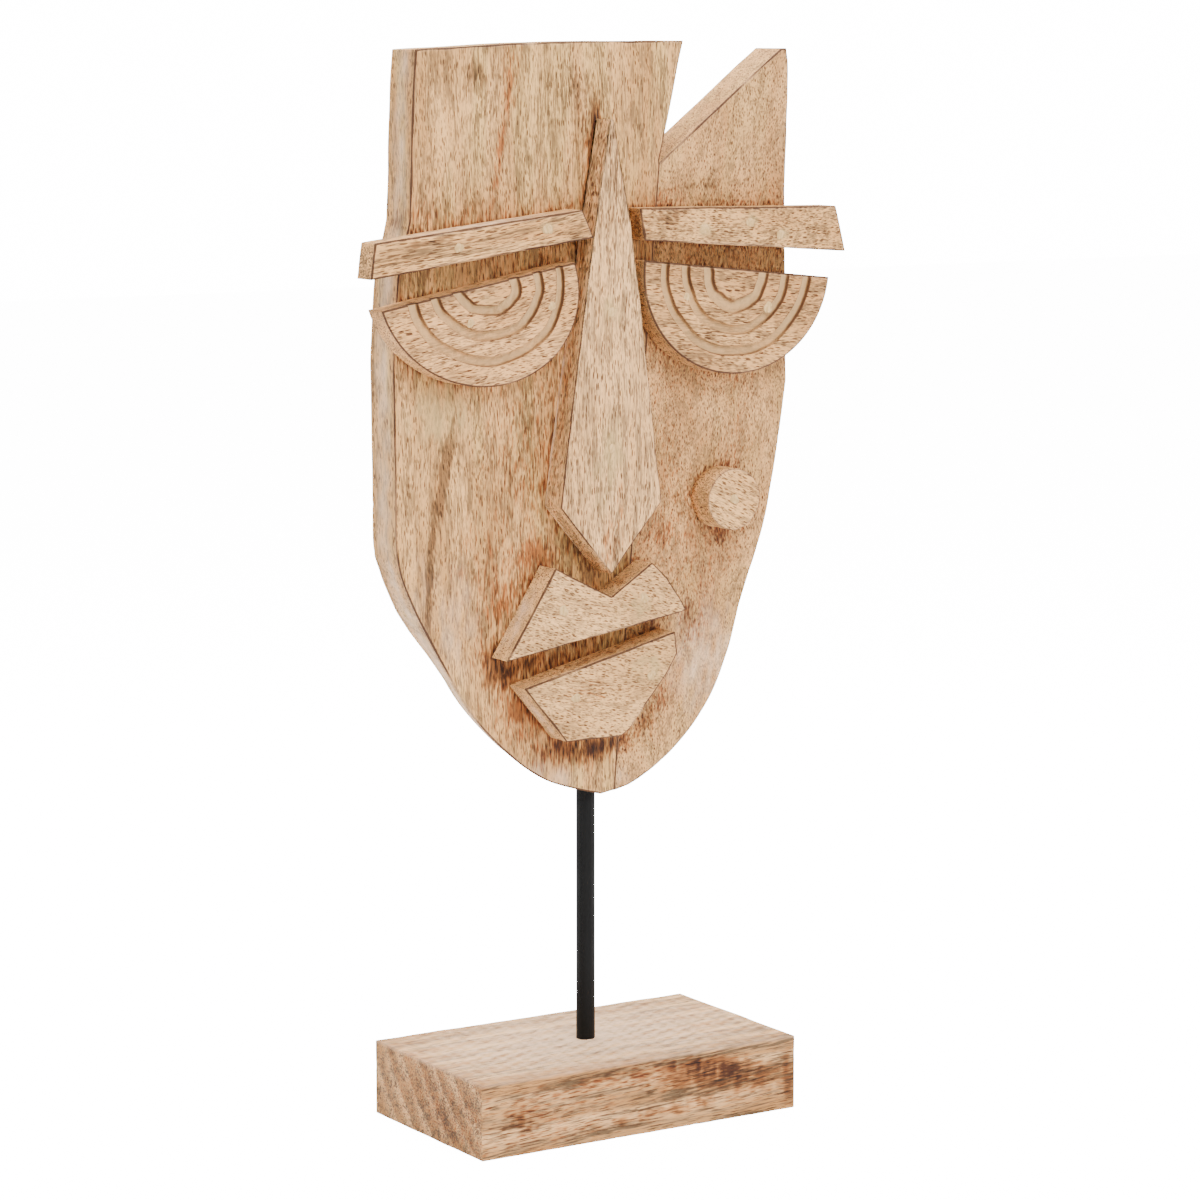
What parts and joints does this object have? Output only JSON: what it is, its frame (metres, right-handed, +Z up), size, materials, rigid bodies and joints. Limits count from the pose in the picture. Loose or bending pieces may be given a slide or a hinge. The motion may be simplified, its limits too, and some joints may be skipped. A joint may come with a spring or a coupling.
{
  "type": "carved wooden mask on a stand",
  "caption": "Flat carved wooden face mask with raised geometric nose, brows, ringed eyes, lips and cheek disc, turning on a black rod in a rectangular wooden base block.",
  "frame": {"origin": "on the rod's axis, on the underside of the base block", "axes": "+Z up along the rod, the face looks along -Y, +X to the right of someone facing it"},
  "size_m": [0.2904, 0.112, 0.57],
  "materials": {
    "base_wood": "raw mango wood with brown scorching, brushed and unvarnished",
    "face_wood": "raw mango wood, upright grain, browned in the corners, unvarnished",
    "feature_wood": "pale raw mango wood with short dark pores, unvarnished",
    "rod_black": "matt black paint",
    "nail_steel": "plain bright steel",
    "wood_filler": "yellowish wood filler, sanded flush"
  },
  "bodies": {
    "stand": {"base_block": "base_wood", "stand_rod": "rod_black"},
    "mask": {"face_board_left": "face_wood", "face_board_right": "face_wood", "nose": "feature_wood", "left_brow": "feature_wood", "right_brow": "feature_wood", "left_eye": "feature_wood", "right_eye": "feature_wood", "cheek_disc": "feature_wood", "upper_lip": "feature_wood", "lower_lip": "feature_wood", "finish_nails": "nail_steel", "nail_fillers": "wood_filler"}
  },
  "joints": [
    {"name": "mask_swivel", "type": "hinge", "parent": "stand", "child": "mask", "pos_m": [0, 0, 0.1745], "axis": [0, 0, 1], "continuous": true}
  ]
}
